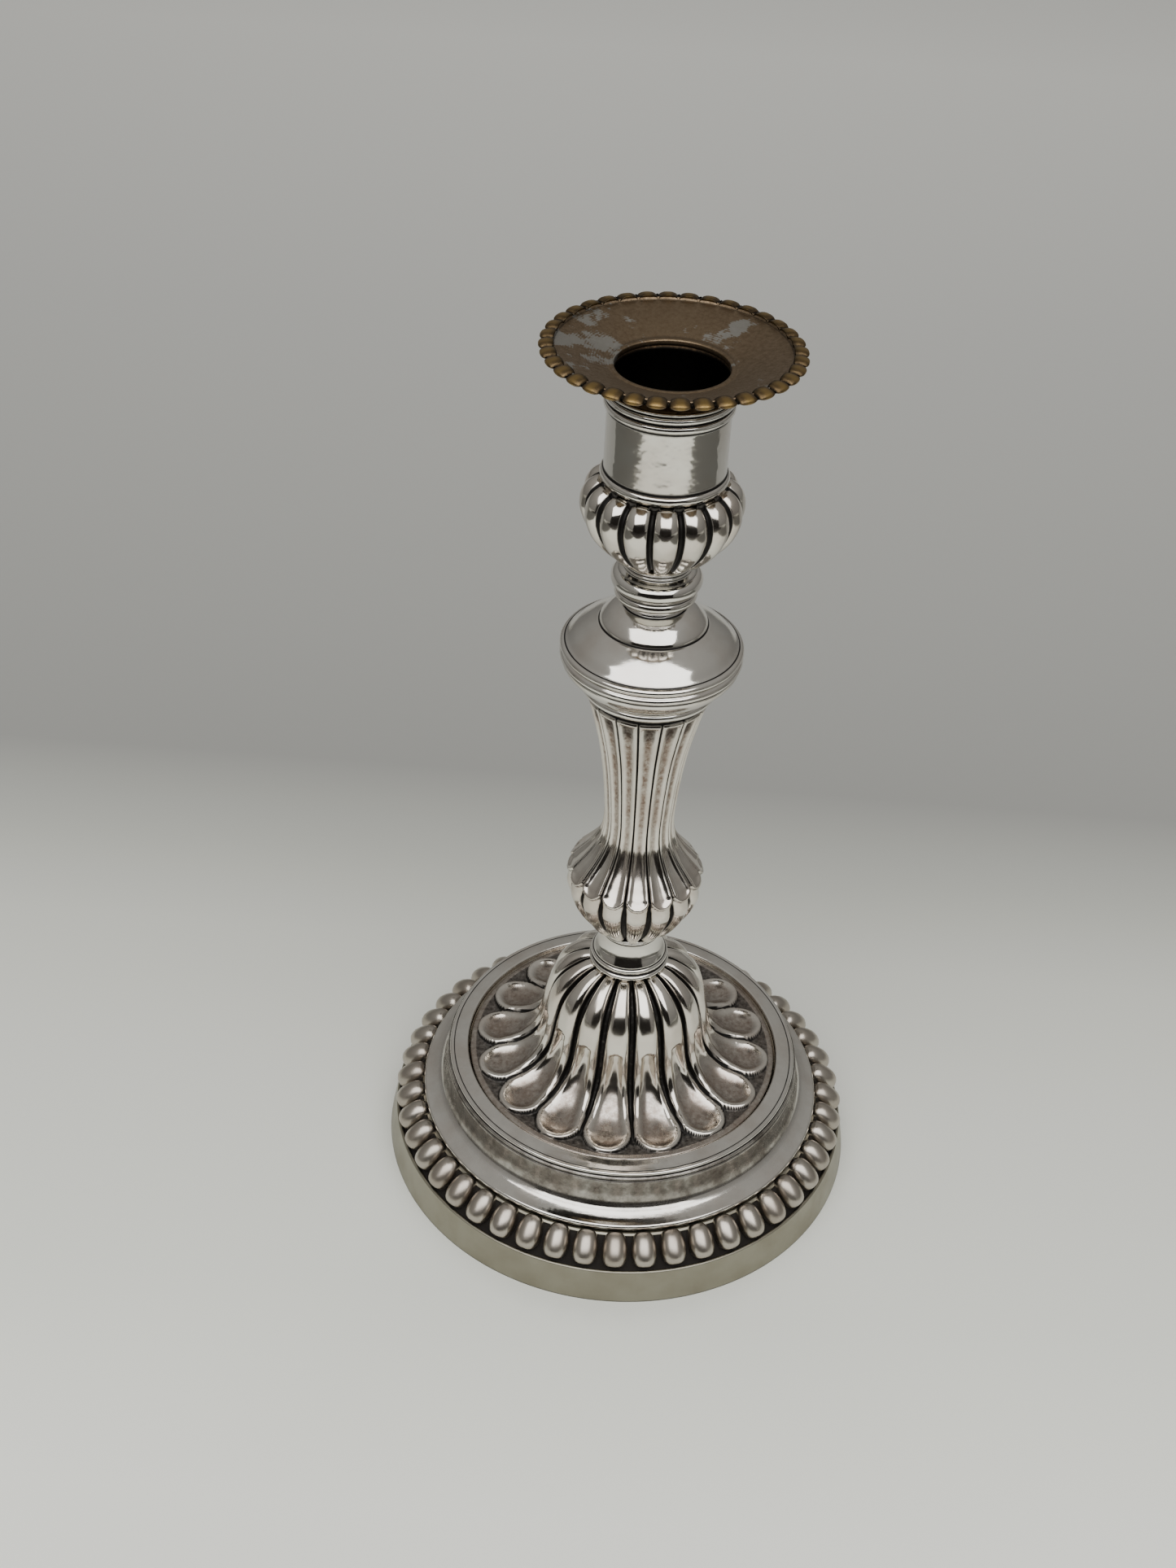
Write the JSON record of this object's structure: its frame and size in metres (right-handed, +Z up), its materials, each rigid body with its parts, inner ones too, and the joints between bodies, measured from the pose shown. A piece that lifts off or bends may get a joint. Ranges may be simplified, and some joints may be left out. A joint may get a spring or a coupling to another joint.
{
  "type": "candlestick",
  "caption": "Neoclassical silver-plated candlestick: beaded round foot, fluted bell, fluted stem, gadrooned socket and a loose lobed drip pan that lifts out.",
  "frame": {"origin": "centre of the round resting face, on the surface that the candlestick stands on", "axes": "+Z up along the axis of the stem and of the candle; the turned shape has no front, and the flutes are 16-fold about Z"},
  "size_m": [0.12, 0.12, 0.222],
  "materials": {
    "silver_plate": "polished silver plate on brass, blackened in the recesses",
    "satin_silver": "satin silver plate on brass, dull and finely scratched",
    "worn_brass": "brown patinated brass with remains of silver plate",
    "brass_sheet": "plain rolled sheet",
    "steel": "plain mild steel",
    "iron": "rough casting",
    "baize": "dark green wool baize"
  },
  "bodies": {
    "stand": {"plinth_band": "satin_silver", "bead_border": "silver_plate", "foot_moulding": "silver_plate", "fluted_dome": "silver_plate", "clamp_plate": "steel", "foot_weight": "iron", "base_plate": "brass_sheet", "baize_pad": "baize", "dome_collar": "silver_plate", "fluted_stem": "silver_plate", "shoulder_base": "silver_plate", "shoulder_cap": "silver_plate", "neck_knop": "silver_plate", "socket_cup": "silver_plate", "socket_sleeve": "silver_plate", "tie_rod": "steel", "foot_nut": "steel", "foot_washer": "steel", "socket_nut": "steel", "socket_washer": "steel"},
    "pan": {"drip_pan": "worn_brass", "pan_border": "worn_brass", "candle_tube": "worn_brass"}
  },
  "joints": [
    {"name": "pan_lift", "type": "slide", "parent": "stand", "child": "pan", "axis": [0, 0, 1], "range_m": [0, 0.03]}
  ]
}
